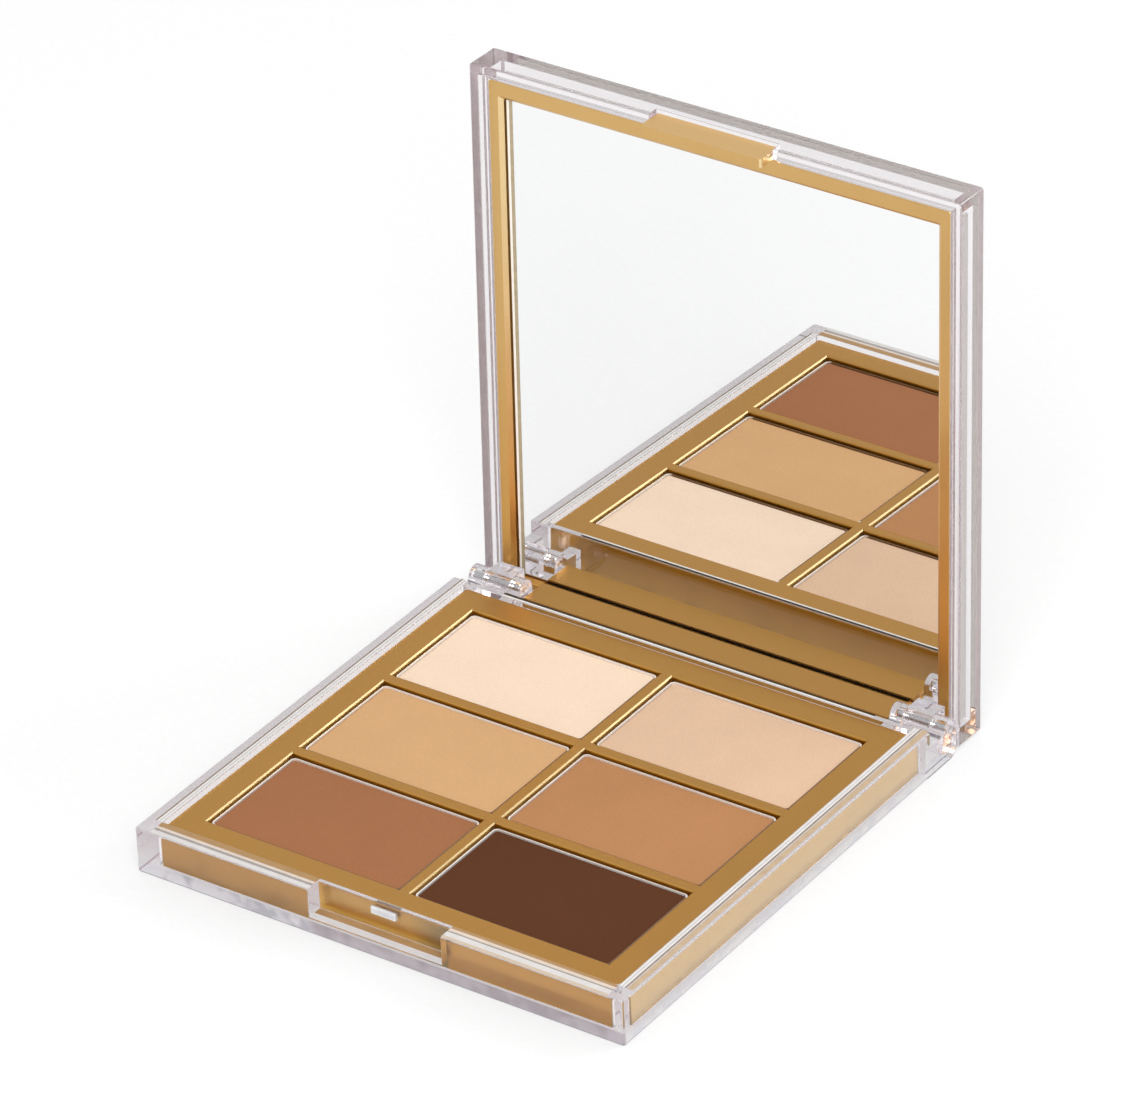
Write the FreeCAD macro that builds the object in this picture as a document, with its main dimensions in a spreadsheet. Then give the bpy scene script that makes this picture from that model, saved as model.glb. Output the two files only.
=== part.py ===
import FreeCAD, Part
import os
import Sketcher

# Eyeshadow palette: a clear case with a gold tray of six pans, and a clear mirrored lid on two hinges.
# X runs from left to right, Y from front to rear and Z up, in millimetres.
# The origin is the middle of the case's underside, measured between its front face and its rear wall.
# The lid's pieces are drawn shut on the case, and their Placement turns them open about the hinge axis.

# Sizes that are set by themselves
SIZES = {
    # Pans, powders and the glue under them
    "pan_width": 33.9,
    "pan_depth": 20.7,
    "pan_height": 4.2,
    "pan_sheet": 0.25,
    "pan_corner": 0.8,
    "powder_gap": 0.03,
    "powder_sink": 0.15,
    "powder_round": 0.3,
    "glue_thickness": 0.25,
    "glue_inset": 4.0,
    # Gold tray
    "pan_gap": 0.3,
    "pan_sink": 0.6,
    "column_bar": 2.0,
    "row_bar": 1.9,
    "side_margin": 4.5,
    "front_margin": 4.3,
    "rear_margin": 4.7,
    "tray_wall": 1.1,
    "tray_floor": 1.0,
    "tray_corner": 0.6,
    "deck_plate": 1.1,
    "deck_bevel": 0.2,
    "tray_gap": 0.2,
    # Clear case
    "case_side_wall": 2.8,
    "case_front_wall": 3.2,
    "case_rear_wall": 0.9,
    "case_floor": 1.0,
    "deck_sink": 0.6,
    "case_corner": 0.5,
    "edge_round": 0.3,
    "foot_round": 2.0,
    # Finger notch and catch nub in the front wall
    "notch_depth": 2.6,
    "notch_height": 4.7,
    "notch_side_gap": 1.2,
    "nub_length": 4.4,
    "nub_height": 1.2,
    "nub_reach": 0.45,
    "nub_drop": 0.85,
    "nub_bevel": 0.2,
    # Hinges
    "hinge_height": 5.2,
    "hinge_back": 5.35,
    "outer_knuckle": 2.6,
    "lid_knuckle": 4.6,
    "inner_knuckle": 2.1,
    "knuckle_gap": 0.1,
    "knuckle_radius": 1.75,
    "lid_knuckle_radius": 1.7,
    "pin_radius": 0.6,
    "pin_recess": 0.2,
    "pin_engage": 1.4,
    "pin_end_gap": 0.2,
    "pin_bevel": 0.15,
    "pin_seat_clearance": 0.02,
    "pin_running_clearance": 0.06,
    # Clear lid
    "lid_open_angle": 91.7,
    "lid_gap": 0.15,
    "lid_tail": 4.55,
    "lid_slab": 1.4,
    "lid_side_wall": 2.55,
    "lid_front_wall": 2.5,
    "lid_hinge_wall": 2.3,
    "rim_wall": 1.6,
    "lid_corner": 0.6,
    # Mirror, its frame and what is behind it
    "frame_gap": 0.1,
    "frame_recess": 1.2,
    "frame_plate": 0.7,
    "frame_bevel": 0.6,
    "frame_side_bar": 2.2,
    "frame_top_bar": 2.9,
    "frame_low_bar": 3.94,
    "frame_corner": 0.4,
    "mirror_cover": 0.6,
    "mirror_thickness": 1.2,
    "mirror_gap": 0.1,
    "mirror_set_back": 0.3,
    "tape_thickness": 0.15,
    "tape_inset": 3.0,
    "backing_plate": 1.25,
    "backing_wall": 0.7,
    "sill_gap": 0.3,
    "ledge_depth": 5.9,
    "ledge_thickness": 1.4,
    "groove_depth": 0.5,
    "groove_height": 0.35,
    # Latch tab on the frame
    "tab_width": 21.0,
    "tab_thickness": 1.4,
    "tab_set_in": 0.55,
    "tab_reach": 2.75,
    "tab_corner": 0.6,
    "tab_notch_gap": 0.3,
}

# Sizes and places that follow from them
FOLLOWING = {
    "well_width": "pan_width + 2 * pan_gap",
    "well_depth": "pan_depth + 2 * pan_gap",
    "row_pitch": "well_depth + row_bar",
    "tray_width": "2 * well_width + column_bar + 2 * side_margin",
    "tray_depth": "3 * well_depth + 2 * row_bar + front_margin + rear_margin",
    "tray_height": "tray_floor + glue_thickness + pan_height + pan_sink",
    "case_width": "tray_width + 2 * tray_gap + 2 * case_side_wall",
    "case_depth": "case_front_wall + tray_depth + 2 * tray_gap + case_rear_wall",
    "case_height": "case_floor + tray_height + deck_sink",
    "front_y": "-case_depth / 2",
    "rear_y": "case_depth / 2",
    "tray_front": "front_y + case_front_wall + tray_gap",
    "well_front": "tray_front + front_margin",
    "well_base": "case_floor + tray_floor",
    "pan_base": "well_base + glue_thickness",
    "deck_z": "case_floor + tray_height",
    "hinge_y": "rear_y + hinge_back",
    "case_end": "hinge_y + knuckle_radius",
    "slot_outer": "case_width / 2 - outer_knuckle",
    "slot_inner": "slot_outer - lid_knuckle - 2 * knuckle_gap",
    "hinge_inner": "slot_inner - inner_knuckle",
    "pin_outer": "case_width / 2 - pin_recess",
    "pin_inner": "slot_inner - pin_engage",
    "notch_width": "tab_width + 2 * notch_side_gap",
    "notch_face": "front_y + notch_depth",
    "nub_low": "case_height - nub_drop - nub_height",
    "lid_rim": "case_height + lid_gap",
    "lid_end": "hinge_y + lid_tail",
    "lid_depth": "lid_end - front_y",
    "frame_z": "lid_rim + frame_recess",
    "frame_back": "frame_z + frame_plate",
    "mirror_z": "frame_back + mirror_set_back",
    "tape_z": "mirror_z + mirror_thickness",
    "backing_z": "tape_z + tape_thickness",
    "slab_z": "backing_z + backing_plate",
    "lid_thickness": "slab_z + lid_slab - lid_rim",
    "cavity_half": "case_width / 2 - lid_side_wall",
    "cavity_front": "front_y + lid_front_wall",
    "cavity_rear": "lid_end - lid_hinge_wall",
    "rim_half": "case_width / 2 - rim_wall",
    "rim_front": "front_y + rim_wall",
    "sill_opening": "hinge_inner - sill_gap",
    "sill_half": "sill_opening - frame_gap",
    "frame_half": "cavity_half - frame_gap",
    "frame_front": "cavity_front + frame_gap",
    "frame_rear": "cavity_rear - frame_gap",
    "opening_half": "frame_half - frame_side_bar",
    "opening_front": "frame_front + frame_top_bar",
    "opening_rear": "lid_end - frame_low_bar",
    "mirror_half": "opening_half + mirror_cover",
    "mirror_front": "opening_front - mirror_cover",
    "mirror_rear": "opening_rear + mirror_cover",
    "ledge_low": "mirror_z - ledge_depth",
    "tab_front": "front_y + tab_set_in",
}

COLUMNS = {
    "left": "-dims.column_bar / 2 - dims.well_width",
    "right": "dims.column_bar / 2",
}
ROWS = {
    "front": "dims.well_front",
    "middle": "dims.well_front + dims.row_pitch",
    "rear": "dims.well_front + 2 * dims.row_pitch",
}

doc = FreeCAD.newDocument("eyeshadow_palette")
sheet = doc.addObject("Spreadsheet::Sheet", "dims")


def fill_sheet():
    texts = {name: str(value) for name, value in SIZES.items()}
    texts.update({name: "=" + formula for name, formula in FOLLOWING.items()})
    for row, (name, text) in enumerate(texts.items(), start=1):
        sheet.set(f"A{row}", name)
        sheet.set(f"B{row}", text)
        sheet.setAlias(f"B{row}", name)
    doc.recompute()


def size(name):
    return float(sheet.get(name))


# Sketches, pads, pockets and rounded edges

def new_body(name):
    body = doc.addObject("PartDesign::Body", name)
    body.Label = name
    return body


def new_sketch(body, name, role, offset):
    planes = [plane for plane in body.Origin.OriginFeatures if plane.Role == role]
    sketch = body.newObject("Sketcher::SketchObject", name)
    sketch.AttachmentSupport = [(planes[0], "")]
    sketch.MapMode = "FlatFace"
    sketch.setExpression("AttachmentOffset.Base.z", offset)
    return sketch


def name_constraint(sketch, name, formula, *parts):
    index = sketch.addConstraint(Sketcher.Constraint(*parts, 1.0))
    sketch.renameConstraint(index, name)
    sketch.setExpression("Constraints." + name, formula)


def add_rectangle(sketch, name, left, width, low, height):
    """Adds an upright rectangle, placed by its left and low sides."""
    first = sketch.GeometryCount
    corners = [(0, 0), (1, 0), (1, 1), (0, 1)]
    points = [FreeCAD.Vector(x, y, 0) for x, y in corners]
    for index, point in enumerate(points):
        sketch.addGeometry(Part.LineSegment(point, points[(index + 1) % 4]), False)
    for index in range(4):
        joined = first + (index + 1) % 4
        sketch.addConstraint(Sketcher.Constraint("Coincident", first + index, 2, joined, 1))
    for index in (0, 2):
        sketch.addConstraint(Sketcher.Constraint("Horizontal", first + index))
        sketch.addConstraint(Sketcher.Constraint("Vertical", first + index + 1))
    name_constraint(sketch, name + "_left", left, "DistanceX", -1, 1, first, 1)
    name_constraint(sketch, name + "_low", low, "DistanceY", -1, 1, first, 1)
    name_constraint(sketch, name + "_width", width, "DistanceX", first, 1, first, 2)
    name_constraint(sketch, name + "_height", height, "DistanceY", first + 1, 1, first + 1, 2)


def add_circle(sketch, name, across, up, radius):
    index = sketch.addGeometry(Part.Circle(FreeCAD.Vector(0, 0, 0), FreeCAD.Vector(0, 0, 1), 1), False)
    name_constraint(sketch, name + "_across", across, "DistanceX", -1, 1, index, 3)
    name_constraint(sketch, name + "_up", up, "DistanceY", -1, 1, index, 3)
    name_constraint(sketch, name + "_radius", radius, "Radius", index)


def extrude(kind, body, sketch, length, reverse):
    feature = body.newObject("PartDesign::" + kind, sketch.Name + "_" + kind.lower())
    feature.Profile = sketch
    feature.setExpression("Length", length)
    feature.Reversed = reverse
    doc.recompute()
    return feature


def pad(body, sketch, length):
    return extrude("Pad", body, sketch, length, False)


def pocket(body, sketch, length, reverse=False):
    before = body.Shape.Volume
    feature = extrude("Pocket", body, sketch, length, reverse)
    if body.Shape.Volume >= before:
        raise RuntimeError(feature.Name + " cuts nothing")
    return feature


def rectangle_pad(body, name, role, offset, left, width, low, height, length):
    sketch = new_sketch(body, name, role, offset)
    add_rectangle(sketch, "side", left, width, low, height)
    return pad(body, sketch, length)


def rectangle_pocket(body, name, level, left, width, low, depth, length, upward=False):
    sketch = new_sketch(body, name, "XY_Plane", level)
    add_rectangle(sketch, "side", left, width, low, depth)
    return pocket(body, sketch, length, upward)


def round_edges(kind, body, name, formula, chosen):
    """Rounds or bevels the edges of the body's last feature that the test chooses."""
    base = body.Tip
    edges = [f"Edge{index}" for index, edge in enumerate(base.Shape.Edges, start=1) if chosen(edge)]
    if not edges:
        raise RuntimeError(name + " finds no edge")
    feature = body.newObject("PartDesign::" + kind, name)
    feature.Base = (base, edges)
    feature.setExpression("Radius" if kind == "Fillet" else "Size", formula)
    doc.recompute()
    return feature


NEAR = 1e-4


def runs_along(edge, axis):
    if edge.Degenerated or not isinstance(edge.Curve, Part.Line):
        return False
    return abs(abs(edge.Curve.Direction.dot(axis)) - 1) < NEAR


ALONG_X = FreeCAD.Vector(1, 0, 0)
ALONG_Y = FreeCAD.Vector(0, 1, 0)
ALONG_Z = FreeCAD.Vector(0, 0, 1)


def is_near(value, name):
    return abs(value - size(name)) < NEAR


def sharp_edges(body):
    """Chooses each edge where two faces meet at an angle."""
    shape = body.Tip.Shape

    def chosen(edge):
        point = edge.valueAt((edge.FirstParameter + edge.LastParameter) / 2)
        faces = shape.ancestorsOfType(edge, Part.Face)
        normals = [face.normalAt(*face.Surface.parameter(point)) for face in faces]
        return len(normals) == 2 and normals[0].dot(normals[1]) < 0.99

    return chosen


def open_lid(body):
    turn = "rotation(vector(1; 0; 0); -dims.lid_open_angle)"
    axis_point = "vector(0; dims.hinge_y; dims.hinge_height)"
    body.setExpression("Placement", f"placement(vector(0; 0; 0); {turn}; {axis_point})")


# The clear case

def base_case():
    body = new_body("base_case")
    rectangle_pad(body, "case_block", "XY_Plane", "0", "-dims.case_width / 2", "dims.case_width",
                  "dims.front_y", "dims.case_depth", "dims.case_height")
    round_edges("Fillet", body, "case_corners", "dims.case_corner",
                lambda edge: runs_along(edge, ALONG_Z) and is_near(edge.CenterOfMass.y, "front_y"))
    round_edges("Fillet", body, "case_edges", "dims.edge_round", sharp_edges(body))
    hinge_block(body)
    tray_room(body)
    finger_notch(body)
    hinge_room(body)
    pin_holes(body, "dims.pin_radius + dims.pin_seat_clearance", "dims.case_width / 2",
              "dims.case_width / 2 - dims.pin_inner + dims.pin_end_gap")
    return body


def hinge_block(body):
    """Adds the block behind the rear wall, and the round bar on it, that the knuckles are cut from."""
    rectangle_pad(body, "hinge_block", "XY_Plane", "0", "-dims.case_width / 2", "dims.case_width",
                  "dims.rear_y - dims.case_rear_wall", "dims.case_end - dims.rear_y + dims.case_rear_wall",
                  "dims.hinge_height")
    round_edges("Fillet", body, "knuckle_feet", "dims.foot_round",
                lambda edge: runs_along(edge, ALONG_X) and is_near(edge.CenterOfMass.y, "case_end")
                and abs(edge.CenterOfMass.z) < NEAR)
    sketch = new_sketch(body, "knuckle_bar", "YZ_Plane", "-dims.case_width / 2")
    add_circle(sketch, "bar", "dims.hinge_y", "dims.hinge_height", "dims.knuckle_radius")
    pad(body, sketch, "dims.case_width")


def tray_room(body):
    rectangle_pocket(body, "tray_room", "dims.case_height", "-dims.tray_width / 2 - dims.tray_gap",
                     "dims.tray_width + 2 * dims.tray_gap", "dims.tray_front - dims.tray_gap",
                     "dims.tray_depth + 2 * dims.tray_gap", "dims.case_height - dims.case_floor")
    half = size("tray_width") / 2 + size("tray_gap")
    round_edges("Fillet", body, "tray_room_corners", "dims.tray_corner + dims.tray_gap",
                lambda edge: runs_along(edge, ALONG_Z) and abs(abs(edge.CenterOfMass.x) - half) < NEAR)


def finger_notch(body):
    rectangle_pocket(body, "finger_notch", "dims.case_height", "-dims.notch_width / 2", "dims.notch_width",
                     "dims.front_y", "dims.notch_depth", "dims.notch_height")
    rectangle_pad(body, "catch_nub", "YZ_Plane", "-dims.nub_length / 2", "dims.notch_face - dims.nub_reach",
                  "dims.nub_reach", "dims.nub_low", "dims.nub_height", "dims.nub_length")
    nub_face = size("notch_face") - size("nub_reach")

    def on_nub_face(edge):
        return all(abs(vertex.Point.y - nub_face) < NEAR for vertex in edge.Vertexes)

    round_edges("Chamfer", body, "nub_bevels", "dims.nub_bevel", on_nub_face)


def hinge_room(body):
    """Clears the middle of the rear and the slots for the lid's knuckles, and so leaves four knuckles."""
    sketch = new_sketch(body, "hinge_room", "XY_Plane", "dims.case_height")
    length = "dims.case_end - dims.rear_y"
    add_rectangle(sketch, "middle", "-dims.hinge_inner", "2 * dims.hinge_inner", "dims.rear_y", length)
    slot = "dims.slot_outer - dims.slot_inner"
    add_rectangle(sketch, "left_slot", "-dims.slot_outer", slot, "dims.rear_y", length)
    add_rectangle(sketch, "right_slot", "dims.slot_inner", slot, "dims.rear_y", length)
    pocket(body, sketch, "dims.case_height")


def pin_holes(body, radius, outer, length):
    for side, offset, reverse in (("left", "-(" + outer + ")", True), ("right", outer, False)):
        sketch = new_sketch(body, body.Name + "_pin_hole_" + side, "YZ_Plane", offset)
        add_circle(sketch, "hole", "dims.hinge_y", "dims.hinge_height", radius)
        pocket(body, sketch, length, reverse)


# The gold tray

def pan_tray():
    body = new_body("pan_tray")
    rectangle_pad(body, "tray_block", "XY_Plane", "dims.case_floor", "-dims.tray_width / 2", "dims.tray_width",
                  "dims.tray_front", "dims.tray_depth", "dims.tray_height")
    round_edges("Fillet", body, "tray_corners", "dims.tray_corner", lambda edge: runs_along(edge, ALONG_Z))
    wells = new_sketch(body, "wells", "XY_Plane", "dims.deck_z")
    for column, left in COLUMNS.items():
        for row, low in ROWS.items():
            add_rectangle(wells, row + "_" + column, left, "dims.well_width", low, "dims.well_depth")
    pocket(body, wells, "dims.tray_height - dims.tray_floor")
    hollow_margin(body)
    round_edges("Chamfer", body, "deck_bevels", "dims.deck_bevel",
                lambda edge: all(is_near(vertex.Z, "deck_z") for vertex in edge.Vertexes))
    return body


def hollow_margin(body):
    """Hollows the tray's margin from below, between its outer skirt and the walls of the wells."""
    sketch = new_sketch(body, "margin", "XY_Plane", "dims.case_floor")
    add_rectangle(sketch, "skirt", "-dims.tray_width / 2 + dims.tray_wall", "dims.tray_width - 2 * dims.tray_wall",
                  "dims.tray_front + dims.tray_wall", "dims.tray_depth - 2 * dims.tray_wall")
    block_width = "2 * dims.well_width + dims.column_bar + 2 * dims.tray_wall"
    block_depth = "3 * dims.well_depth + 2 * dims.row_bar + 2 * dims.tray_wall"
    add_rectangle(sketch, "block", "-dims.well_width - dims.column_bar / 2 - dims.tray_wall", block_width,
                  "dims.well_front - dims.tray_wall", block_depth)
    pocket(body, sketch, "dims.tray_height - dims.deck_plate", True)


# Pans, powders and glue pads

def pan(name, left, low):
    body = new_body("pan_" + name)
    rectangle_pad(body, "sheet_" + name, "XY_Plane", "dims.pan_base", left + " + dims.pan_gap", "dims.pan_width",
                  low + " + dims.pan_gap", "dims.pan_depth", "dims.pan_height")
    round_edges("Fillet", body, "sheet_corners_" + name, "dims.pan_corner",
                lambda edge: runs_along(edge, ALONG_Z))
    inset = " + dims.pan_gap + dims.pan_sheet"
    rectangle_pocket(body, "dish_" + name, "dims.pan_base + dims.pan_height", left + inset,
                     "dims.pan_width - 2 * dims.pan_sheet", low + inset, "dims.pan_depth - 2 * dims.pan_sheet",
                     "dims.pan_height - dims.pan_sheet")
    inside = size("pan_height") - size("pan_sheet")
    round_edges("Fillet", body, "dish_corners_" + name, "dims.pan_corner - dims.pan_sheet",
                lambda edge: runs_along(edge, ALONG_Z) and abs(edge.Length - inside) < NEAR)
    return body


def powder(name, left, low):
    body = new_body("powder_" + name)
    inset = "dims.pan_sheet + dims.powder_gap"
    start = " + dims.pan_gap + " + inset
    rectangle_pad(body, "cake_" + name, "XY_Plane", "dims.pan_base + dims.pan_sheet", left + start,
                  f"dims.pan_width - 2 * ({inset})", low + start, f"dims.pan_depth - 2 * ({inset})",
                  "dims.pan_height - dims.pan_sheet - dims.powder_sink")
    round_edges("Fillet", body, "cake_corners_" + name, f"dims.pan_corner - ({inset})",
                lambda edge: runs_along(edge, ALONG_Z))
    top = size("pan_base") + size("pan_height") - size("powder_sink")
    round_edges("Fillet", body, "cake_edges_" + name, "dims.powder_round",
                lambda edge: all(abs(vertex.Z - top) < NEAR for vertex in edge.Vertexes))
    return body


def glue_pad(name, left, low):
    body = new_body("glue_pad_" + name)
    start = " + dims.pan_gap + dims.glue_inset"
    rectangle_pad(body, "glue_" + name, "XY_Plane", "dims.well_base", left + start,
                  "dims.pan_width - 2 * dims.glue_inset", low + start, "dims.pan_depth - 2 * dims.glue_inset",
                  "dims.glue_thickness")
    return body


# Hinge pins

def hinge_pin(side, start):
    body = new_body("hinge_pin_" + side)
    sketch = new_sketch(body, "pin_round_" + side, "YZ_Plane", start)
    add_circle(sketch, "pin", "dims.hinge_y", "dims.hinge_height", "dims.pin_radius")
    pad(body, sketch, "dims.pin_outer - dims.pin_inner")
    round_edges("Chamfer", body, "pin_ends_" + side, "dims.pin_bevel",
                lambda edge: isinstance(edge.Curve, Part.Circle))
    return body


# The clear lid

def lid_case():
    body = new_body("lid_case")
    rectangle_pad(body, "lid_block", "XY_Plane", "dims.lid_rim", "-dims.case_width / 2", "dims.case_width",
                  "dims.front_y", "dims.lid_depth", "dims.lid_thickness")
    round_edges("Fillet", body, "lid_corners", "dims.lid_corner", lambda edge: runs_along(edge, ALONG_Z))
    round_edges("Fillet", body, "lid_edges", "dims.edge_round", sharp_edges(body))
    hollow = "dims.slab_z - dims.lid_rim"
    rectangle_pocket(body, "mirror_room", "dims.lid_rim", "-dims.cavity_half", "2 * dims.cavity_half",
                     "dims.cavity_front", "dims.cavity_rear - dims.cavity_front", hollow, True)
    rectangle_pocket(body, "rim_room", "dims.lid_rim", "-dims.rim_half", "2 * dims.rim_half", "dims.rim_front",
                     "dims.cavity_rear - dims.rim_front", "dims.frame_recess", True)
    rectangle_pocket(body, "sill_room", "dims.lid_rim", "-dims.sill_opening", "2 * dims.sill_opening",
                     "dims.cavity_rear", "dims.lid_end - dims.cavity_rear", hollow, True)
    rectangle_pocket(body, "tab_room", "dims.lid_rim", "-dims.tab_width / 2 - dims.tab_notch_gap",
                     "dims.tab_width + 2 * dims.tab_notch_gap", "dims.front_y", "dims.lid_front_wall",
                     "dims.frame_recess + dims.frame_plate + dims.frame_gap", True)
    lid_knuckles(body)
    open_lid(body)
    return body


def lid_knuckles(body):
    low = "dims.hinge_height - dims.lid_knuckle_radius"
    left = "dims.hinge_y - dims.lid_knuckle_radius"
    for side, offset in (("left", "-dims.slot_outer + dims.knuckle_gap"),
                         ("right", "dims.slot_inner + dims.knuckle_gap")):
        rectangle_pad(body, "lid_knuckle_" + side, "YZ_Plane", offset, left, "dims.lid_end - (" + left + ")",
                      low, "dims.lid_rim + dims.edge_round - (" + low + ")", "dims.lid_knuckle")
    bottom = size("hinge_height") - size("lid_knuckle_radius")
    round_edges("Fillet", body, "lid_knuckle_rounds", "dims.lid_knuckle_radius",
                lambda edge: runs_along(edge, ALONG_X) and abs(edge.CenterOfMass.z - bottom) < NEAR)
    pin_holes(body, "dims.pin_radius + dims.pin_running_clearance", "dims.slot_outer",
              "dims.slot_outer - dims.slot_inner")


# The mirror, its frame and what holds it

def mirror_frame():
    """A flat frame with a bevelled opening, a sill and a ledge between the hinges and the latch tab."""
    body = new_body("mirror_frame")
    rectangle_pad(body, "frame_plate", "XY_Plane", "dims.frame_z", "-dims.frame_half", "2 * dims.frame_half",
                  "dims.frame_front", "dims.frame_rear - dims.frame_front", "dims.frame_plate")
    round_edges("Fillet", body, "frame_corners", "dims.frame_corner", lambda edge: runs_along(edge, ALONG_Z))
    rectangle_pocket(body, "mirror_opening", "dims.frame_back", "-dims.opening_half", "2 * dims.opening_half",
                     "dims.opening_front", "dims.opening_rear - dims.opening_front", "dims.frame_plate")
    round_edges("Chamfer", body, "opening_bevels", "dims.frame_bevel", on_opening_front)
    foot = ("-dims.sill_half", "2 * dims.sill_half")
    rectangle_pad(body, "sill", "XY_Plane", "dims.frame_z", *foot, "dims.frame_rear",
                  "dims.lid_end - dims.frame_rear", "dims.slab_z - dims.frame_z")
    rectangle_pad(body, "ledge", "XY_Plane", "dims.ledge_low", *foot, "dims.opening_rear",
                  "dims.ledge_thickness", "dims.frame_back - dims.ledge_low")
    rectangle_pocket(body, "foot_groove", "dims.frame_back", *foot, "dims.opening_rear", "dims.groove_depth",
                     "dims.groove_height")
    latch_tab(body)
    open_lid(body)
    return body


def on_opening_front(edge):
    """Chooses the edges of the mirror's opening on the front of the frame."""
    half = size("opening_half") + NEAR
    low = size("opening_front") - NEAR
    high = size("opening_rear") + NEAR
    points = [vertex.Point for vertex in edge.Vertexes]
    return all(is_near(point.z, "frame_z") and abs(point.x) < half and low < point.y < high for point in points)


def latch_tab(body):
    rectangle_pad(body, "tab_root", "XY_Plane", "dims.frame_z", "-dims.tab_width / 2", "dims.tab_width",
                  "dims.tab_front", "dims.frame_front - dims.tab_front", "dims.frame_plate")
    sketch = new_sketch(body, "tab_blade", "XY_Plane", "dims.frame_z")
    add_rectangle(sketch, "blade", "-dims.tab_width / 2", "dims.tab_width", "dims.tab_front",
                  "dims.tab_thickness")
    extrude("Pad", body, sketch, "dims.frame_recess + dims.tab_reach", True)
    end = size("tab_width") / 2
    tip = size("lid_rim") - size("tab_reach")

    def blade_corner(edge):
        at_end = abs(abs(edge.CenterOfMass.x) - end) < NEAR
        return runs_along(edge, ALONG_Y) and at_end and abs(edge.CenterOfMass.z - tip) < NEAR

    round_edges("Fillet", body, "tab_corners", "dims.tab_corner", blade_corner)


def mirror_sheet(name, base, inset, thickness):
    """A plain sheet of the mirror's outline, drawn in by an inset."""
    body = new_body(name)
    rectangle_pad(body, name + "_sheet", "XY_Plane", base, f"-dims.mirror_half + {inset}",
                  f"2 * (dims.mirror_half - {inset})", f"dims.mirror_front + {inset}",
                  f"dims.mirror_rear - dims.mirror_front - 2 * {inset}", thickness)
    open_lid(body)
    return body


def lid_backing():
    """A plate on the lid's slab, with a low wall round the edge of the mirror."""
    body = new_body("lid_backing")
    grow = "dims.mirror_gap + dims.backing_wall"
    rectangle_pad(body, "backing_block", "XY_Plane", "dims.frame_back", f"-dims.mirror_half - ({grow})",
                  f"2 * (dims.mirror_half + {grow})", f"dims.mirror_front - ({grow})",
                  f"dims.mirror_rear - dims.mirror_front + 2 * ({grow})", "dims.slab_z - dims.frame_back")
    rectangle_pocket(body, "backing_dish", "dims.frame_back", "-dims.mirror_half - dims.mirror_gap",
                     "2 * (dims.mirror_half + dims.mirror_gap)", "dims.mirror_front - dims.mirror_gap",
                     "dims.mirror_rear - dims.mirror_front + 2 * dims.mirror_gap",
                     "dims.backing_z - dims.frame_back", True)
    open_lid(body)
    return body


def write_parts(bodies):
    doc.recompute()
    for item in doc.Objects:
        if "Invalid" in item.State or "Error" in item.State:
            raise RuntimeError(item.Name + " failed: " + str(item.State))
    for body in bodies:
        if body.Shape.isNull() or not body.Shape.isValid() or len(body.Shape.Solids) != 1:
            raise RuntimeError(body.Label + " is not one valid solid")
    os.makedirs("parts", exist_ok=True)
    for body in bodies:
        body.Shape.exportStep("parts/" + body.Label + ".step")
        print(body.Label, round(body.Shape.Volume, 2))


fill_sheet()
pieces = [base_case(), pan_tray()]
for row, low in ROWS.items():
    for column, left in COLUMNS.items():
        place = row + "_" + column
        pieces.append(pan(place, left, low))
        pieces.append(powder(place, left, low))
        pieces.append(glue_pad(place, left, low))
pieces.append(hinge_pin("left", "-dims.pin_outer"))
pieces.append(hinge_pin("right", "dims.pin_inner"))
pieces.append(lid_case())
pieces.append(lid_backing())
pieces.append(mirror_sheet("mirror_tape", "dims.tape_z", "dims.tape_inset", "dims.tape_thickness"))
pieces.append(mirror_sheet("mirror_glass", "dims.mirror_z", "0", "dims.mirror_thickness"))
pieces.append(mirror_frame())
write_parts(pieces)
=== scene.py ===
import bpy
import math
from itertools import product
from mathutils import Matrix, Vector


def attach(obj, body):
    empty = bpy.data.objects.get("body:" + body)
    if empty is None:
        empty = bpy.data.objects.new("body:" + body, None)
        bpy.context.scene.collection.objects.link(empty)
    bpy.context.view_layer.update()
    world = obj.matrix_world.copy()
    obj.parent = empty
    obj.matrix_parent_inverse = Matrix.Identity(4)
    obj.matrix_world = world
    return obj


# Eyeshadow palette: clear acrylic case and lid, gold tray and mirror frame, six pressed powders.
# Metres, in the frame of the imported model: X to the right, Y to the rear, Z up.

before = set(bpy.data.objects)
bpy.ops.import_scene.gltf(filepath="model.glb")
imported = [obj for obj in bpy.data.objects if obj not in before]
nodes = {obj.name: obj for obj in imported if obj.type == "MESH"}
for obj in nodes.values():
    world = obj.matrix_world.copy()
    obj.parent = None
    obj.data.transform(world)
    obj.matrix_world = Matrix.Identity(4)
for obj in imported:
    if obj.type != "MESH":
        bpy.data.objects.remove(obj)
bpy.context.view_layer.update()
scene = bpy.context.scene

# Camera, as the photograph was taken
PHOTO_WIDTH = 1125
FOCAL_PIXELS = 7611
SENSOR_WIDTH = 36
AZIMUTH = 35.791
ELEVATION = 31.451
ROLL = -2.613
EYE = (0.55153, -0.75545, 0.61759)
NEAREST = 0.05
FARTHEST = 20

# Light, and the glowing floor that touches the clear foot of the case
FLOOR_HALF = 2.0
FLOOR_HEIGHT = 0.00002
FLOOR_GLOW = 0.52
DOME_STRENGTH = 0.69
LAMP_AIM = (0, 0, 0.03)
KEY_PLACE = (0.647, -0.997, 1.07)
KEY_SIZE = 0.9
KEY_POWER = 15.8
SIDE_PLACE = (0.75, 1.0, 0.72)
SIDE_SIZE = 0.7
SIDE_POWER = 5
LIGHT_BOUNCES = 40

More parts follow.
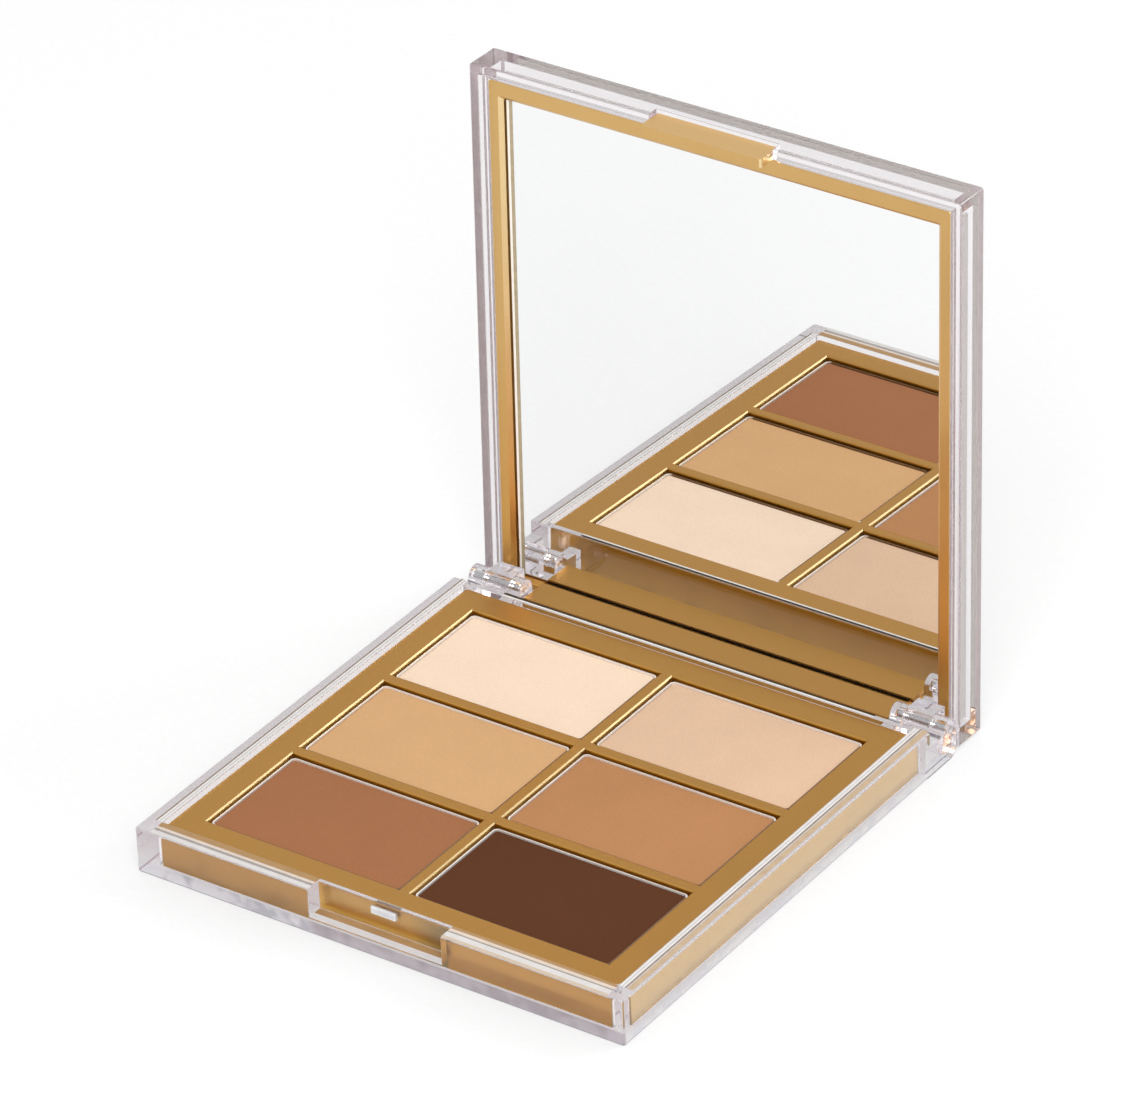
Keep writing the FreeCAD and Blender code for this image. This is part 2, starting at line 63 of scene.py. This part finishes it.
# Powder colours, by place in the tray
POWDERS = {
    "rear_left": (0.90, 0.70, 0.535),
    "rear_right": (0.725, 0.497, 0.338),
    "middle_left": (0.665, 0.393, 0.19),
    "middle_right": (0.47, 0.226, 0.098),
    "front_left": (0.365, 0.152, 0.068),
    "front_right": (0.104, 0.036, 0.0145),
}

# Gold of the deck, and painted lit and shaded copies: the tray's upright sides, the mirror's frame and
# what faces the side light
DECK_GOLD = (0.66, 0.35, 0.092)
SKIRT_GOLD = (0.60, 0.30, 0.035)
FRAME_GOLD = (0.69, 0.44, 0.172)
BEVEL_GOLD = (0.90, 0.71, 0.39)
TAB_GOLD = (0.96, 0.63, 0.27)
SIDE_GOLD = (0.86, 0.61, 0.25)
EDGE_GOLD = (0.42, 0.32, 0.17)

# Painted light on the tray's front in the notch, and the painted shade over the notch's right end
NOTCH_GOLD = (0.92, 0.54, 0.075)
NOTCH_SHADE = (0.40, 0.44, 0.55)

# How much painted light brightens the gold at the foot of the tray's front and on the frame's right bar
FOOT_LIGHT = 1.25
BAR_FOOT_LIGHT = 1.12
BAR_LIGHT = 1.18

# Sizes of the detail in the materials
GRAIN = 0.00025
FLAKE = 0.00012
BLOTCH = 0.008
MOTTLE = 0.003
BRUSH = 0.0004
HAZE = 0.02
SMEAR = 0.002
LINE_SPOT = 0.002
PAPER_SPOT = 0.001
FLAKE_RELIEF = 0.000004
GRAIN_RELIEF = 0.00003
SPOT_RELIEF = 0.02
EDGE_ROUND = 0.0003
EDGE_SAMPLES = 8

# The part of the noise over which a tone changes: most of it, or less for clearer spots
NOISE_REACH = (0.3, 0.7)
SPOT_REACH = (0.4, 0.56)
SHADE_REACH = (0.35, 0.62)

# Where the clear plastic's painted reflections and shade change, from start to end: upwards, to the rear
# and to the right
EDGE_LINE = (0.00025, 0.000325)
SIDE_FOOT = (0.0016, 0.00192)
FRONT_FOOT = (0.0021, 0.002415)
FRONT_SKIN = (-0.0404, -0.0400)
FRONT_SHADE = (-0.0127, -0.0107)

# Where the tray's painted light and shade change: upwards, to the rear and along the front to the right
LIT_FOOT = (0.0035, 0.0055)
FRONT_SKIRT = (-0.035, -0.031)
NOTCH_START = (-0.0137, -0.0117)
NOTCH_DARK = (0.0065, 0.0085)
NOTCH_END = (0.0112, 0.0117)

# Where the frame's painted shade and light change: up the frame, near the top of its right bar, and to
# the right
FRAME_RISE = (0.01, 0.05)
BAR_FADE = (0.06, 0.075)
RIGHT_BAR = (0.034, 0.037)

# How far a surface faces up or sideways where its painted light and shade change
UPWARD = (0.1, 0.4)
TURNED = (0.4, 0.6)
SQUARE_ON = (0.8, 0.95)

# Where a pan's painted rim highlights end, as parts of its width and depth
LEFT_RIM = (0.015, 0.03)
REAR_RIM = (0.955, 0.97)

# The lid as it is drawn shut: its hinge, outline, back face and the width of its side walls
HINGE = (0, 0.04595, 0.0052)
OPEN_ANGLE = 91.7
LID_HALF = 0.043
LID_FRONT = -0.0406
LID_END = 0.0505
LID_BACK = 0.014
LID_WALL = 0.00255

# Thickness of the thin painted lines and bands, and the sides of a block by its corners
SHEET = 0.00002
BLOCK_FACES = ((0, 1, 3, 2), (4, 6, 7, 5), (0, 4, 5, 1), (2, 3, 7, 6), (1, 5, 7, 3), (0, 2, 6, 4))

# How far the painted shade in the lid's edge lies inside the clear plastic
SHADE_BAND_DEPTH = 0.00004
SHADE_BAND_INSET = 0.0003

# The painted shade, a dark sheet in the groove at the mirror's foot
FOOT_SHADE_HALF = 0.0328
FOOT_SHADE_PLACE = 0.04661
FOOT_SHADE_FRONT = 0.00968
FOOT_SHADE_BACK = 0.00998

# The mirror's visible ends, its face and the two lines of painted reflection down its left edge
MIRROR_TOP = -0.0350
MIRROR_FOOT = 0.0464
MIRROR_FACE = 0.00999
PALE_EDGE = (-0.03774, -0.03745)
TAN_EDGE = (-0.03744, -0.03686)

# The base case: its outline, top, the width of its walls, the notch and the room between the hinges
CASE_HALF = 0.043
CASE_FRONT = -0.0406
CASE_REAR = 0.0406
CASE_TOP = 0.00765
SIDE_WALL = 0.0028
FRONT_WALL = 0.0032
REAR_WALL = 0.0009
NOTCH_HALF = 0.0117
HINGE_INNER = 0.0335

# The ledge in the notch, how high the thin painted lines lie over the plastic, and the painted highlight
# inside the catch nub
LEDGE_TOP = 0.00295
LEDGE_FRONT = -0.03945
LEDGE_REAR = -0.0380
LEDGE_INSET = 0.0001
STRIP_RISE = 0.00002
NUB_LOW = (-0.00214, -0.03839, 0.00566)
NUB_HIGH = (0.00214, -0.03804, 0.00674)

# How far the skins of the pieces seated in the clear plastic move out, so that no faces coincide
SEATS = {
    "pan_tray": -0.00003,
    "hinge_pin_left": -0.00003,
    "hinge_pin_right": -0.00003,
    "lid_backing": 0.00003,
}


class Surface:
    """A material in the making: its nodes, its main shader and the piece's own coordinates."""

    def __init__(self, name):
        self.material = bpy.data.materials.new(name)
        self.material.use_nodes = True
        self.tree = self.material.node_tree
        self.shader = self.tree.nodes["Principled BSDF"]
        coordinates = self.tree.nodes.new("ShaderNodeTexCoord")
        self.place = coordinates.outputs["Object"]
        self.facing = coordinates.outputs["Normal"]
        self.share = coordinates.outputs["Generated"]

    def add(self, kind, **inputs):
        node = self.tree.nodes.new("ShaderNode" + kind)
        for name, value in inputs.items():
            self.feed(node.inputs[name.replace("_", " ")], value)
        return node

    def feed(self, socket, value):
        if isinstance(value, bpy.types.NodeSocket):
            self.tree.links.new(value, socket)
        else:
            socket.default_value = value

    def set(self, name, value):
        self.feed(self.shader.inputs[name], value)

    def axes(self, vector):
        """The X, Y and Z of a vector."""
        return self.add("SeparateXYZ", Vector=vector).outputs

    def noise(self, length, detail=3.0):
        """Cloudy noise whose spots are about that long."""
        node = self.add("TexNoise", Vector=self.place, Scale=1 / length, Detail=detail)
        return node.outputs["Fac"]

    def ramp(self, factor, low, high, reach=NOISE_REACH):
        """A colour that goes from low to high as the factor goes through its reach."""
        node = self.add("ValToRGB", Fac=factor)
        for stop, place, colour in zip(node.color_ramp.elements, reach, (low, high)):
            stop.position = place
            stop.color = (*colour, 1)
        return node.outputs["Color"]

    def span(self, factor, low, high, reach=NOISE_REACH):
        """A number that goes from low to high as the factor goes through its reach."""
        start, end = reach
        node = self.add("MapRange", Value=factor, From_Min=start, From_Max=end)
        self.feed(node.inputs["To Min"], low)
        self.feed(node.inputs["To Max"], high)
        return node.outputs["Result"]

    def rise(self, factor, reach):
        """Nothing before the reach and all after it."""
        return self.span(factor, 0, 1, reach)

    def blend(self, first, second, factor=1.0, kind="MIX"):
        """Two colours mixed by a factor."""
        node = self.add("Mix")
        node.data_type = "RGBA"
        node.blend_type = kind
        self.feed(node.inputs["Factor"], factor)
        self.feed(node.inputs["A"], first)
        self.feed(node.inputs["B"], second)
        return node.outputs["Result"]

    def multiply(self, first, second):
        """One colour darkened by another."""
        return self.blend(first, second, kind="MULTIPLY")

    def bump(self, height, distance):
        node = self.add("Bump", Height=height, Distance=distance, Strength=1.0)
        self.set("Normal", node.outputs["Normal"])

    def round_edges(self, radius):
        """Shades sharp edges as if they were rounded."""
        node = self.add("Bevel", Radius=radius)
        node.samples = EDGE_SAMPLES
        self.set("Normal", node.outputs["Normal"])

    def absorb(self, colour, density):
        """Tints the light by the way that it goes through the piece."""
        node = self.add("VolumeAbsorption", Color=(*colour, 1), Density=density)
        output = self.tree.nodes["Material Output"]
        self.tree.links.new(node.outputs["Volume"], output.inputs["Volume"])


def shade(colour, factor):
    """A colour made brighter or darker."""
    return tuple(channel * factor for channel in colour)


# Materials

def clear_plastic():
    """Clear acrylic with painted reflections mottling the foot, and painted shade along the foot's edge.
    """
    surface = Surface("clear_acrylic")
    place = surface.axes(surface.place)
    clear = surface.ramp(surface.noise(BLOTCH), (0.98, 0.975, 0.985), (0.995, 0.99, 1.0))
    mottle = surface.noise(MOTTLE, 1.0)
    # Painted reflections: lilac and white mottling on the foot
    pale = surface.ramp(mottle, (0.86, 0.86, 0.95), (1.0, 1.0, 1.0), SPOT_REACH)
    sides = surface.blend(pale, clear, surface.rise(place["Z"], SIDE_FOOT))
    front = front_tone(surface, place, mottle, clear)
    wall = surface.blend(front, sides, surface.rise(place["Y"], FRONT_SKIN))
    above_edge = surface.rise(place["Z"], EDGE_LINE)
    # Painted shade: a dark line along the foot's lower edge
    surface.set("Base Color", surface.blend((0.12, 0.11, 0.13, 1), wall, above_edge))
    surface.set("Roughness", surface.span(surface.noise(SMEAR), 0.0, 0.012))
    surface.set("Transmission Weight", 1.0)
    surface.set("IOR", 1.49)
    surface.round_edges(EDGE_ROUND)
    surface.absorb((0.86, 0.78, 0.81), 60)
    return surface.material


def front_tone(surface, place, mottle, clear):
    """The front's foot: painted streaks of reflection on the left, painted mauve shade from the notch to
    the right.
    """
    streaked = surface.ramp(mottle, (0.44, 0.43, 0.52), (0.86, 0.85, 0.93), SPOT_REACH)
    shaded = surface.ramp(mottle, (0.30, 0.245, 0.30), (0.45, 0.385, 0.45), SHADE_REACH)
    foot = surface.blend(streaked, shaded, surface.rise(place["X"], FRONT_SHADE))
    return surface.blend(foot, clear, surface.rise(place["Z"], FRONT_FOOT))


def gold(surface, tone):
    """Satin gold of that tone."""
    flake = surface.noise(FLAKE, 2.0)
    glint = surface.ramp(flake, (0.9, 0.9, 0.9), (1, 1, 1))
    surface.set("Base Color", surface.multiply(tone, glint))
    surface.set("Metallic", 1.0)
    surface.set("Roughness", surface.span(surface.noise(BLOTCH), 0.34, 0.42))
    surface.bump(flake, FLAKE_RELIEF)
    return surface.material


def front_skirt(surface, place):
    """The tray's front side: a painted lit foot from the notch to the right, and painted shade at the
    notch's end.
    """
    right_foot = surface.ramp(place["Z"], shade(SKIRT_GOLD, FOOT_LIGHT), SKIRT_GOLD, LIT_FOOT)
    notch_foot = surface.ramp(place["Z"], NOTCH_GOLD, SKIRT_GOLD, LIT_FOOT)
    notch_end = surface.ramp(place["X"], (1, 1, 1), NOTCH_SHADE, NOTCH_DARK)
    notch = surface.multiply(notch_foot, notch_end)
    lit_foot = surface.blend(notch, right_foot, surface.rise(place["X"], NOTCH_END))
    return surface.blend((*SKIRT_GOLD, 1), lit_foot, surface.rise(place["X"], NOTCH_START))


def tray_gold():
    """One tone on the deck, painted shade on the upright sides and a paler painted light on what faces
    the side light.
    """
    surface = Surface("tray_gold")
    place = surface.axes(surface.place)
    facing = surface.axes(surface.facing)
    front = front_skirt(surface, place)
    skirt = surface.blend(front, (*SKIRT_GOLD, 1), surface.rise(place["Y"], FRONT_SKIRT))
    face = surface.blend(skirt, (*DECK_GOLD, 1), surface.rise(facing["Z"], UPWARD))
    # Painted light on faces that turn to the side light, toned down on the bevels that half face it
    side = surface.ramp(facing["X"], EDGE_GOLD, SIDE_GOLD, SQUARE_ON)
    return gold(surface, surface.blend(face, side, surface.rise(facing["X"], TURNED)))


def frame_face(surface, place):
    """The frame's face: painted shade at the foot, paler above, and painted light on the right bar below
    its top.
    """
    face = surface.ramp(place["Z"], DECK_GOLD, FRAME_GOLD, FRAME_RISE)
    lit_foot = shade(DECK_GOLD, BAR_FOOT_LIGHT)
    lit_face = surface.ramp(place["Z"], lit_foot, shade(FRAME_GOLD, BAR_LIGHT), FRAME_RISE)
    bar = surface.blend(lit_face, face, surface.rise(place["Z"], BAR_FADE))
    return surface.blend(face, bar, surface.rise(place["X"], RIGHT_BAR))


def frame_gold():
    """The face's tones, and the palest, painted light on the tab and the bevel that faces the side
    light.
    """
    surface = Surface("frame_gold")
    place = surface.axes(surface.place)
    facing = surface.axes(surface.facing)
    face = frame_face(surface, place)
    bevel = surface.ramp(place["Z"], DECK_GOLD, BEVEL_GOLD, FRAME_RISE)
    tab = surface.ramp(place["Z"], DECK_GOLD, TAB_GOLD, FRAME_RISE)
    sides = surface.blend(face, bevel, surface.rise(facing["X"], TURNED))
    return gold(surface, surface.blend(sides, tab, surface.rise(facing["Z"], TURNED)))


def pan_metal():
    """Painted highlights along the rear and left rims, painted brown shade along the others."""
    surface = Surface("bright_pan")
    share = surface.axes(surface.share)
    brushed = surface.noise(BRUSH, 2.0)
    bright = surface.ramp(brushed, (0.90, 0.87, 0.85), (0.98, 0.96, 0.94))
    shaded = surface.ramp(brushed, (0.22, 0.13, 0.07), (0.30, 0.19, 0.11))
    left = surface.blend(bright, shaded, surface.rise(share["X"], LEFT_RIM))
    surface.set("Base Color", surface.blend(left, bright, surface.rise(share["Y"], REAR_RIM)))
    surface.set("Metallic", 0.5)
    surface.set("Roughness", surface.span(brushed, 0.16, 0.26))
    return surface.material


def mirror():
    """Silvered glass with a faint haze."""
    surface = Surface("mirror_glass")
    haze = surface.noise(HAZE)
    surface.set("Base Color", surface.ramp(haze, (0.91, 0.915, 0.915), (0.92, 0.925, 0.925)))
    surface.set("Metallic", 1.0)
    surface.set("Roughness", surface.span(haze, 0.0, 0.006))
    return surface.material


def powder(place):
    """Matt pressed powder with a fine grain and faint clouds."""
    surface = Surface("powder_" + place)
    base = POWDERS[place]
    grain = surface.noise(GRAIN, 4.0)
    cloud = surface.noise(BLOTCH, 4.0)
    fine = surface.ramp(grain, shade(base, 0.93), shade(base, 1.05))
    wide = surface.ramp(cloud, (0.96, 0.96, 0.96), (1.0, 1.0, 1.0))
    surface.set("Base Color", surface.multiply(fine, wide))
    surface.set("Roughness", 0.95)
    surface.set("Specular IOR Level", 0.15)
    surface.bump(grain, GRAIN_RELIEF)
    return surface.material


def plain(name, low, high, roughness, length, metallic=0.0, gloss=0.5):
    """A surface of two close colours in spots of that length."""
    surface = Surface(name)
    spots = surface.noise(length)
    surface.set("Base Color", surface.ramp(spots, low, high))
    surface.set("Roughness", surface.span(spots, roughness * 0.85, roughness * 1.15))
    surface.set("Metallic", metallic)
    surface.set("Specular IOR Level", gloss)
    surface.bump(spots, length * SPOT_RELIEF)
    return surface.material


def line_tone(name, low, high):
    """The tone of a line or band that stands in for light in the clear plastic."""
    return plain(name, low, high, 0.5, LINE_SPOT)


def dress():
    """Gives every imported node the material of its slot."""
    ivory = plain("ivory_plastic", (0.84, 0.81, 0.75), (0.88, 0.86, 0.80), 0.4, 0.0006)
    steel = plain("pin_steel", (0.60, 0.60, 0.61), (0.70, 0.70, 0.71), 0.28, 0.0003, metallic=1.0)
    made = {
        "clear_plastic": clear_plastic(),
        "gold": tray_gold(),
        "pan_metal": pan_metal(),
        "mirror": mirror(),
        "ivory_plastic": ivory,
        "tape": plain("foam_tape", (0.74, 0.73, 0.70), (0.82, 0.81, 0.78), 0.8, 0.0004),
        "glue": plain("glue", (0.62, 0.58, 0.48), (0.70, 0.66, 0.56), 0.5, 0.001),
        "pin_steel": steel,
    }
    for place in POWDERS:
        made["powder_" + place] = powder(place)
    for node in nodes.values():
        for entry in node.material_slots:
            entry.material = made[entry.material.name.split(".")[0]]
    nodes["mirror_frame"].material_slots[0].material = frame_gold()


def seat_pieces():
    """Leaves a hair of air round the loose pieces in the clear plastic and none behind the glued one."""
    for name, swell in SEATS.items():
        seat = nodes[name].modifiers.new("seat", "DISPLACE")
        seat.mid_level = 0
        seat.strength = swell


# Pieces that only the scene has

def blocks(name, corners, material, body, turn=Matrix.Identity(4)):
    """One piece made of closed blocks, each given by its low and its high corner."""
    points = []
    faces = []
    for low, high in corners:
        start = len(points)
        points += [turn @ Vector(point) for point in product(*zip(low, high))]
        faces += [[start + index for index in face] for face in BLOCK_FACES]
    mesh = bpy.data.meshes.new(name)
    mesh.from_pydata(points, [], faces)
    mesh.materials.append(material)
    piece = bpy.data.objects.new(name, mesh)
    scene.collection.objects.link(piece)
    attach(piece, body)


def lid_blocks(name, corners, material):
    """Blocks on the lid, drawn on the shut lid and turned open with it."""
    to_hinge = Matrix.Translation(HINGE)
    turn = to_hinge @ Matrix.Rotation(math.radians(-OPEN_ANGLE), 4, "X") @ to_hinge.inverted()
    blocks(name, corners, material, "lid", turn)


def lid_edge_shade():
    """Painted shade: a thin mauve band under the clear plastic, down the back of each side wall of the
    lid.
    """
    inner = LID_HALF - LID_WALL
    outer = LID_HALF - SHADE_BAND_INSET
    front = LID_FRONT + SHADE_BAND_INSET
    rear = LID_END - SHADE_BAND_INSET
    back = LID_BACK - SHADE_BAND_DEPTH
    sides = ((-outer, -inner), (inner, outer))
    corners = [((left, front, back - SHEET), (right, rear, back)) for left, right in sides]
    mauve = line_tone("mauve_painted_shade", (0.82, 0.72, 0.73), (0.88, 0.79, 0.80))
    lid_blocks("lid_edge_shade", corners, mauve)


def mirror_foot_shade():
    """Painted shade: a dark sheet for the dark line at the mirror's foot."""
    corners = ((-FOOT_SHADE_HALF, FOOT_SHADE_PLACE, FOOT_SHADE_FRONT), (FOOT_SHADE_HALF, FOOT_SHADE_PLACE + SHEET, FOOT_SHADE_BACK))
    dark = plain("painted_foot_shade", (0.005, 0.003, 0.002), (0.010, 0.007, 0.004), 0.9, 0.001, gloss=0.0)
    lid_blocks("mirror_foot_shade", [corners], dark)


def mirror_edge(name, edge, dark, pale):
    """One line of painted reflection down the mirror's left side."""
    left, right = edge
    corners = ((left, MIRROR_TOP, MIRROR_FACE - SHEET), (right, MIRROR_FOOT, MIRROR_FACE))
    lid_blocks(name, [corners], plain(name, dark, pale, 0.4, 0.001))


def rim_strip(wall, near, far):
    """The corners of a strip on top of a wall, from near to far as parts of the wall's width."""
    side_start = CASE_HALF - SIDE_WALL
    front_start = CASE_FRONT + FRONT_WALL
    rear_start = CASE_REAR - REAR_WALL
    side = (side_start + SIDE_WALL * near, side_start + SIDE_WALL * far)
    front = (front_start - FRONT_WALL * far, front_start - FRONT_WALL * near)
    rear = (rear_start + REAR_WALL * near, rear_start + REAR_WALL * far)
    spans = {
        "left": ((-side[1], -side[0]), (front_start, CASE_REAR)),
        "right": (side, (front_start, CASE_REAR)),
        "front_left": ((-side_start, -NOTCH_HALF), front),
        "front_right": ((NOTCH_HALF, side_start), front),
        "rear": ((-HINGE_INNER, HINGE_INNER), rear),
    }
    low = CASE_TOP + STRIP_RISE
    return list(zip(*spans[wall], (low, low + SHEET)))


def rim_line(name, material, **parts):
    """One line along the tops of the walls, with the part of each wall's width that it covers."""
    corners = [rim_strip(wall, *part) for wall, part in parts.items()]
    blocks(name, corners, material, "base")


def side_lines():
    """The lines that the light draws along the side walls and the rear wall."""
    white = line_tone("rim_white", (0.72, 0.70, 0.67), (0.78, 0.76, 0.73))
    brown = line_tone("rim_brown", (0.20, 0.13, 0.08), (0.26, 0.18, 0.12))
    dark = plain("rim_dark", (0.04, 0.025, 0.012), (0.07, 0.045, 0.022), 0.7, LINE_SPOT, gloss=0.1)
    tan = line_tone("rim_tan", (0.50, 0.36, 0.23), (0.58, 0.43, 0.28))
    rim_line("rim_white", white, left=(0.05, 0.16), right=(0.05, 0.16))
    rim_line("rim_white_outer", white, left=(0.23, 0.34), right=(0.23, 0.34))
    rim_line("rim_brown", brown, left=(0.37, 0.44), right=(0.37, 0.44))
    rim_line("rim_tan", tan, right=(0.52, 0.86))
    rim_line("rear_white", white, rear=(0.08, 0.45))
    rim_line("rear_brown", dark, rear=(0.46, 0.98))


def front_lines():
    """The lines that the light draws along the front wall, on either side of the notch."""
    gold_tone = line_tone("front_gold", (0.38, 0.22, 0.085), (0.43, 0.25, 0.10))
    cream = line_tone("front_cream", (0.67, 0.55, 0.45), (0.73, 0.61, 0.51))
    grey = line_tone("front_grey", (0.28, 0.25, 0.22), (0.34, 0.31, 0.28))
    pale = line_tone("front_pale", (0.64, 0.61, 0.59), (0.70, 0.67, 0.65))
    tan = line_tone("front_tan", (0.57, 0.45, 0.32), (0.63, 0.51, 0.37))
    rim_line("front_gold", gold_tone, front_left=(0.02, 0.33), front_right=(0.02, 0.18))
    rim_line("front_cream", cream, front_left=(0.36, 0.50), front_right=(0.20, 0.38))
    rim_line("front_grey", grey, front_left=(0.54, 0.64), front_right=(0.40, 0.46))
    rim_line("front_pale", pale, front_left=(0.70, 0.95), front_right=(0.48, 0.80))
    rim_line("front_tan", tan, front_right=(0.82, 0.97))


def notch_gold():
    """A painted stand-in for the tray's gold as it shows through the rear of the clear ledge in the
    notch.
    """
    low = LEDGE_TOP + STRIP_RISE
    half = NOTCH_HALF - LEDGE_INSET
    corners = ((-half, LEDGE_FRONT, low), (half, LEDGE_REAR - LEDGE_INSET, low + SHEET))
    tone = line_tone("notch_gold", (0.43, 0.25, 0.105), (0.48, 0.28, 0.125))
    blocks("notch_gold", [corners], tone, "base")


def nub_light():
    """A painted highlight: a white block inside the clear catch nub."""
    white = plain("nub_white", (0.92, 0.92, 0.93), (0.98, 0.98, 0.98), 0.5, 0.0008)
    blocks("nub_light", [(NUB_LOW, NUB_HIGH)], white, "base")


# Floor, light and camera

def floor_paper():
    """Pale paper, lit from below as on a light table."""
    surface = Surface("floor_paper")
    spots = surface.noise(PAPER_SPOT)
    surface.set("Base Color", surface.ramp(spots, (0.43, 0.43, 0.43), (0.45, 0.45, 0.45)))
    surface.set("Emission Color", (1, 1, 1, 1))
    surface.set("Emission Strength", FLOOR_GLOW)
    surface.set("Roughness", 0.9)
    surface.set("Specular IOR Level", 0.1)
    return surface.material


def floor():
    half = FLOOR_HALF
    corners = ((-half, -half), (half, -half), (half, half), (-half, half))
    mesh = bpy.data.meshes.new("floor")
    mesh.from_pydata([(x, y, FLOOR_HEIGHT) for x, y in corners], [], [(0, 1, 2, 3)])
    mesh.materials.append(floor_paper())
    plane = bpy.data.objects.new("floor", mesh)
    scene.collection.objects.link(plane)


def studio_dome():
    world = bpy.data.worlds.new("studio_dome")
    scene.world = world
    world.use_nodes = True
    background = world.node_tree.nodes["Background"]
    background.inputs["Color"].default_value = (1, 1, 1, 1)
    background.inputs["Strength"].default_value = DOME_STRENGTH


def softbox(name, place, size, power):
    """A square lamp that faces the palette."""
    light = bpy.data.lights.new(name, "AREA")
    light.shape = "SQUARE"
    light.size = size
    light.energy = power
    lamp = bpy.data.objects.new(name, light)
    lamp.location = place
    lamp.rotation_mode = "QUATERNION"
    lamp.rotation_quaternion = (Vector(LAMP_AIM) - Vector(place)).to_track_quat("-Z", "Y")
    scene.collection.objects.link(lamp)


def photo_camera():
    data = bpy.data.cameras.new("photo_camera")
    data.sensor_width = SENSOR_WIDTH
    data.lens = FOCAL_PIXELS / PHOTO_WIDTH * SENSOR_WIDTH
    data.clip_start = NEAREST
    data.clip_end = FARTHEST
    camera = bpy.data.objects.new("photo_camera", data)
    azimuth, elevation, roll = (math.radians(angle) for angle in (AZIMUTH, ELEVATION, ROLL))
    flat = math.cos(elevation)
    back = Vector((math.sin(azimuth) * flat, -math.cos(azimuth) * flat, math.sin(elevation)))
    level_right = Vector((0, 0, 1)).cross(back).normalized()
    level_up = back.cross(level_right)
    right = level_right * math.cos(roll) + level_up * math.sin(roll)
    up = level_up * math.cos(roll) - level_right * math.sin(roll)
    turn = Matrix((right, up, back)).transposed()
    camera.matrix_world = Matrix.Translation(EYE) @ turn.to_4x4()
    scene.collection.objects.link(camera)
    scene.camera = camera


def light_paths():
    """Follows light long enough to leave the clear walls again."""
    scene.cycles.max_bounces = LIGHT_BOUNCES
    scene.cycles.glossy_bounces = LIGHT_BOUNCES
    scene.cycles.transmission_bounces = LIGHT_BOUNCES


dress()
seat_pieces()
lid_edge_shade()
mirror_foot_shade()
mirror_edge("mirror_edge_pale", PALE_EDGE, (0.88, 0.84, 0.76), (0.94, 0.91, 0.84))
mirror_edge("mirror_edge_tan", TAN_EDGE, (0.36, 0.29, 0.18), (0.44, 0.36, 0.24))
side_lines()
front_lines()
notch_gold()
nub_light()
floor()
studio_dome()
softbox("key_softbox", KEY_PLACE, KEY_SIZE, KEY_POWER)
softbox("side_softbox", SIDE_PLACE, SIDE_SIZE, SIDE_POWER)
photo_camera()
light_paths()
scene.view_settings.view_transform = "Standard"
